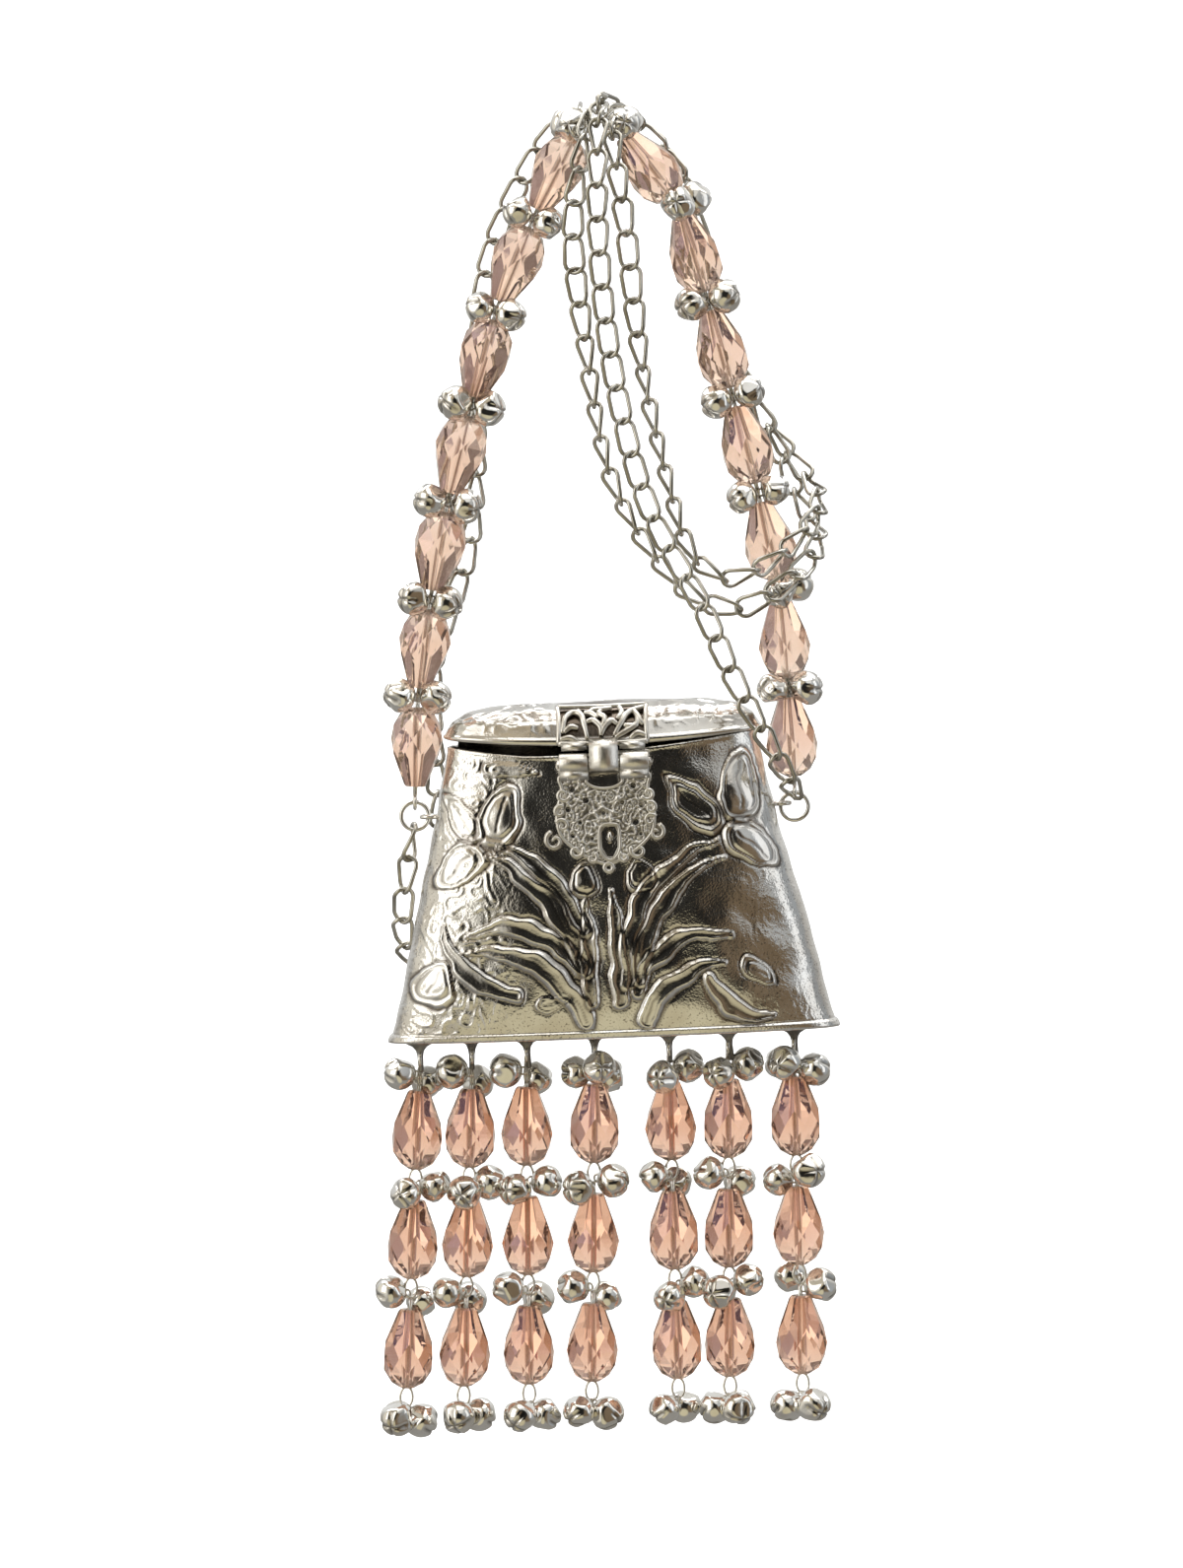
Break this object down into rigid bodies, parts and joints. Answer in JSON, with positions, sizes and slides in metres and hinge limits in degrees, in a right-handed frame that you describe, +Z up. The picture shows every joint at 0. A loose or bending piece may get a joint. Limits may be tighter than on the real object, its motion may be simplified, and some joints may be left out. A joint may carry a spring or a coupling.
{
  "type": "metal clutch purse",
  "caption": "Small hinged metal clutch purse with embossed front, pierced hasp, beaded crystal handle, wound shoulder chain and a bead-and-bell fringe.",
  "frame": {"origin": "hook point inside the top of the beaded handle, where the purse hangs", "axes": "+Z up, -Y toward the embossed front, +X to the right seen from the front"},
  "size_m": [0.0928, 0.0351, 0.274],
  "materials": {
    "silver": "polished, worn",
    "nickel": "satin",
    "crystal": "cut and polished"
  },
  "bodies": {
    "purse": {"purse_body": "silver", "lid_hinge_pin": "silver", "side_ring_left": "silver", "side_ring_right": "silver", "handle_string": "silver", "fringe_string_1": "silver", "fringe_string_2": "silver", "fringe_string_3": "silver", "fringe_string_4": "silver", "fringe_string_5": "silver", "fringe_string_6": "silver", "fringe_string_7": "silver", "handle_crystal_01": "crystal", "handle_crystal_02": "crystal", "handle_crystal_03": "crystal", "handle_crystal_04": "crystal", "handle_crystal_05": "crystal", "handle_crystal_06": "crystal", "handle_crystal_07": "crystal", "handle_crystal_08": "crystal", "handle_crystal_09": "crystal", "handle_crystal_10": "crystal", "handle_crystal_11": "crystal", "handle_crystal_12": "crystal", "handle_crystal_13": "crystal", "handle_crystal_14": "crystal", "fringe_crystal_1_1": "crystal", "fringe_crystal_1_2": "crystal", "fringe_crystal_1_3": "crystal", "fringe_crystal_2_1": "crystal", "fringe_crystal_2_2": "crystal", "fringe_crystal_2_3": "crystal", "fringe_crystal_3_1": "crystal", "fringe_crystal_3_2": "crystal", "fringe_crystal_3_3": "crystal", "fringe_crystal_4_1": "crystal", "fringe_crystal_4_2": "crystal", "fringe_crystal_4_3": "crystal", "fringe_crystal_5_1": "crystal", "fringe_crystal_5_2": "crystal", "fringe_crystal_5_3": "crystal", "fringe_crystal_6_1": "crystal", "fringe_crystal_6_2": "crystal", "fringe_crystal_6_3": "crystal", "fringe_crystal_7_1": "crystal", "fringe_crystal_7_2": "crystal", "fringe_crystal_7_3": "crystal", "shoulder_chain": "nickel"},
    "lid": {"lid": "silver", "clasp_plate": "silver", "hasp_pin": "silver"},
    "hasp": {"hasp": "silver"}
  },
  "joints": [
    {"name": "lid_hinge", "type": "hinge", "parent": "purse", "child": "lid", "pos_m": [0.00095, 0.0127, -0.12529], "axis": [-0.9993, 0, -0.0384], "range_deg": [0, 100]},
    {"name": "hasp_hinge", "type": "hinge", "parent": "lid", "child": "hasp", "pos_m": [0.00106, -0.013, -0.12804], "axis": [-0.9993, 0, -0.0384], "range_deg": [0, 110]}
  ]
}
